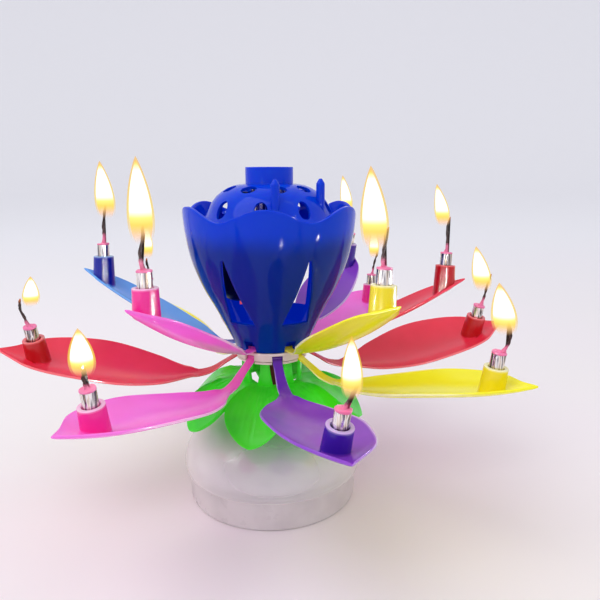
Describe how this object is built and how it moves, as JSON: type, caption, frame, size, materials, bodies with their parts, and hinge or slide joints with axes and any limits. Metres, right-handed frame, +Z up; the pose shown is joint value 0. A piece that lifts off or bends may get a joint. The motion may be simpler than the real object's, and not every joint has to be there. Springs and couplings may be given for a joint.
{
  "type": "musical birthday candle",
  "caption": "Musical birthday candle: a lotus flower that spins on a round base, with hinged petals that each carry a small candle in a holder.",
  "frame": {"origin": "on the spindle's axis at the level of the table, in the middle of the base's flat foot", "axes": "+Z up along the spindle; -Y towards the picture's viewer; +X to the viewer's right"},
  "size_m": [0.2317, 0.2316, 0.1512],
  "materials": {
    "white_base": "smooth white moulding",
    "clear_cover": "clear glossy moulding",
    "steel": "plated steel",
    "gear_nylon": "natural nylon",
    "circuit_board": "green lacquered board",
    "brass": "thin brass sounder",
    "maroon_spindle": "dark red moulding",
    "green_calyx": "glossy bright green moulding",
    "pale_ring": "pale pinkish moulding",
    "blue_cup": "glossy deep blue moulding",
    "black_plastic": "dark moulding",
    "foil": "crinkled silver foil",
    "wax": "pink wax with a dark wick",
    "red_petal": "glossy red moulding",
    "pink_petal": "glossy hot pink moulding",
    "purple_petal": "glossy purple moulding",
    "yellow_petal": "glossy yellow moulding",
    "blue_petal": "glossy light blue moulding"
  },
  "bodies": {
    "base": {"base_cup": "white_base", "inner_housing": "white_base", "clear_cover": "clear_cover", "motor": "steel", "sound_board": "circuit_board", "piezo_disc": "brass", "button_cell_1": "steel", "button_cell_2": "steel"},
    "pinion": {"motor_pinion": "gear_nylon"},
    "flower": {"spindle": "maroon_spindle", "drive_gear": "gear_nylon", "calyx": "green_calyx", "ring_keeper": "pale_ring", "petal_ring": "pale_ring", "bud_cup": "blue_cup", "pod_dome": "blue_cup", "fountain_tube": "foil", "sensor_capsule": "black_plastic"},
    "lower_red_left": {"lower_petal_red_left": "red_petal", "lower_candle_red_left": "wax", "lower_foil_red_left": "foil"},
    "lower_pink_front": {"lower_petal_pink_front": "pink_petal", "lower_candle_pink_front": "wax", "lower_foil_pink_front": "foil"},
    "lower_purple_front": {"lower_petal_purple_front": "purple_petal", "lower_candle_purple_front": "wax", "lower_foil_purple_front": "foil"},
    "lower_yellow_right": {"lower_petal_yellow_right": "yellow_petal", "lower_candle_yellow_right": "wax", "lower_foil_yellow_right": "foil"},
    "lower_red_right": {"lower_petal_red_right": "red_petal", "lower_candle_red_right": "wax", "lower_foil_red_right": "foil"},
    "lower_pink_back": {"lower_petal_pink_back": "pink_petal", "lower_candle_pink_back": "wax", "lower_foil_pink_back": "foil"},
    "lower_purple_back": {"lower_petal_purple_back": "purple_petal", "lower_candle_purple_back": "wax", "lower_foil_purple_back": "foil"},
    "lower_yellow_back": {"lower_petal_yellow_back": "yellow_petal", "lower_candle_yellow_back": "wax", "lower_foil_yellow_back": "foil"},
    "upper_blue_left": {"upper_petal_blue_left": "blue_petal", "upper_candle_blue_left": "wax", "upper_foil_blue_left": "foil"},
    "upper_pink_front": {"upper_petal_pink_front": "pink_petal", "upper_candle_pink_front": "wax", "upper_foil_pink_front": "foil"},
    "upper_yellow_front": {"upper_petal_yellow_front": "yellow_petal", "upper_candle_yellow_front": "wax", "upper_foil_yellow_front": "foil"},
    "upper_red_right": {"upper_petal_red_right": "red_petal", "upper_candle_red_right": "wax", "upper_foil_red_right": "foil"},
    "upper_purple_back": {"upper_petal_purple_back": "purple_petal", "upper_candle_purple_back": "wax", "upper_foil_purple_back": "foil"},
    "upper_red_back": {"upper_petal_red_back": "red_petal", "upper_candle_red_back": "wax", "upper_foil_red_back": "foil"}
  },
  "joints": [
    {"name": "flower_spin", "type": "hinge", "parent": "base", "child": "flower", "pos_m": [0, 0, 0.0195], "axis": [0, 0, 1], "continuous": true},
    {"name": "pinion_spin", "type": "hinge", "parent": "base", "child": "pinion", "pos_m": [0.0144, 0, 0.0195], "axis": [0, 0, 1], "continuous": true},
    {"name": "lower_red_left_hinge", "type": "hinge", "parent": "flower", "child": "lower_red_left", "pos_m": [-0.01383, -0.00219, 0.0688], "axis": [-0.1564, 0.9877, 0], "range_deg": [0, 40]},
    {"name": "lower_pink_front_hinge", "type": "hinge", "parent": "flower", "child": "lower_pink_front", "pos_m": [-0.00823, -0.01133, 0.0688], "axis": [-0.809, 0.5878, 0], "range_deg": [0, 40]},
    {"name": "lower_purple_front_hinge", "type": "hinge", "parent": "flower", "child": "lower_purple_front", "pos_m": [0.00219, -0.01383, 0.0688], "axis": [-0.9877, -0.1564, 0], "range_deg": [0, 40]},
    {"name": "lower_yellow_right_hinge", "type": "hinge", "parent": "flower", "child": "lower_yellow_right", "pos_m": [0.01133, -0.00823, 0.0688], "axis": [-0.5878, -0.809, 0], "range_deg": [0, 40]},
    {"name": "lower_red_right_hinge", "type": "hinge", "parent": "flower", "child": "lower_red_right", "pos_m": [0.01383, 0.00219, 0.0688], "axis": [0.1564, -0.9877, 0], "range_deg": [0, 40]},
    {"name": "lower_pink_back_hinge", "type": "hinge", "parent": "flower", "child": "lower_pink_back", "pos_m": [0.00823, 0.01133, 0.0688], "axis": [0.809, -0.5878, 0], "range_deg": [0, 40]},
    {"name": "lower_purple_back_hinge", "type": "hinge", "parent": "flower", "child": "lower_purple_back", "pos_m": [-0.00219, 0.01383, 0.0688], "axis": [0.9877, 0.1564, 0], "range_deg": [0, 40]},
    {"name": "lower_yellow_back_hinge", "type": "hinge", "parent": "flower", "child": "lower_yellow_back", "pos_m": [-0.01133, 0.00823, 0.0688], "axis": [0.5878, 0.809, 0], "range_deg": [0, 32]},
    {"name": "upper_blue_left_hinge", "type": "hinge", "parent": "flower", "child": "upper_blue_left", "pos_m": [-0.01399, 0.00049, 0.0729], "axis": [0.0349, 0.9994, 0], "range_deg": [0, 32.1]},
    {"name": "upper_pink_front_hinge", "type": "hinge", "parent": "flower", "child": "upper_pink_front", "pos_m": [-0.00742, -0.01187, 0.0729], "axis": [-0.848, 0.5299, 0], "range_deg": [0, 32.1]},
    {"name": "upper_yellow_front_hinge", "type": "hinge", "parent": "flower", "child": "upper_yellow_front", "pos_m": [0.00657, -0.01236, 0.0729], "axis": [-0.8829, -0.4695, 0], "range_deg": [0, 32.1]},
    {"name": "upper_red_right_hinge", "type": "hinge", "parent": "flower", "child": "upper_red_right", "pos_m": [0.01399, -0.00049, 0.0729], "axis": [-0.0349, -0.9994, 0], "range_deg": [0, 32.1]},
    {"name": "upper_purple_back_hinge", "type": "hinge", "parent": "flower", "child": "upper_purple_back", "pos_m": [0.00742, 0.01187, 0.0729], "axis": [0.848, -0.5299, 0], "range_deg": [0, 32.1]},
    {"name": "upper_red_back_hinge", "type": "hinge", "parent": "flower", "child": "upper_red_back", "pos_m": [-0.00657, 0.01236, 0.0729], "axis": [0.8829, 0.4695, 0], "range_deg": [0, 32.1]}
  ],
  "couplings": [
    {"joint": "pinion_spin", "follows": "flower_spin", "ratio": -3},
    {"joint": "lower_red_left_hinge", "follows": "lower_purple_front_hinge", "ratio": 1},
    {"joint": "lower_pink_front_hinge", "follows": "lower_purple_front_hinge", "ratio": 1},
    {"joint": "lower_yellow_right_hinge", "follows": "lower_purple_front_hinge", "ratio": 1},
    {"joint": "lower_red_right_hinge", "follows": "lower_purple_front_hinge", "ratio": 1},
    {"joint": "lower_pink_back_hinge", "follows": "lower_purple_front_hinge", "ratio": 1},
    {"joint": "lower_purple_back_hinge", "follows": "lower_purple_front_hinge", "ratio": 1},
    {"joint": "lower_yellow_back_hinge", "follows": "lower_purple_front_hinge", "ratio": 0.8},
    {"joint": "upper_blue_left_hinge", "follows": "lower_purple_front_hinge", "ratio": 0.8},
    {"joint": "upper_pink_front_hinge", "follows": "lower_purple_front_hinge", "ratio": 0.8},
    {"joint": "upper_yellow_front_hinge", "follows": "lower_purple_front_hinge", "ratio": 0.8},
    {"joint": "upper_red_right_hinge", "follows": "lower_purple_front_hinge", "ratio": 0.8},
    {"joint": "upper_purple_back_hinge", "follows": "lower_purple_front_hinge", "ratio": 0.8},
    {"joint": "upper_red_back_hinge", "follows": "lower_purple_front_hinge", "ratio": 0.8}
  ]
}
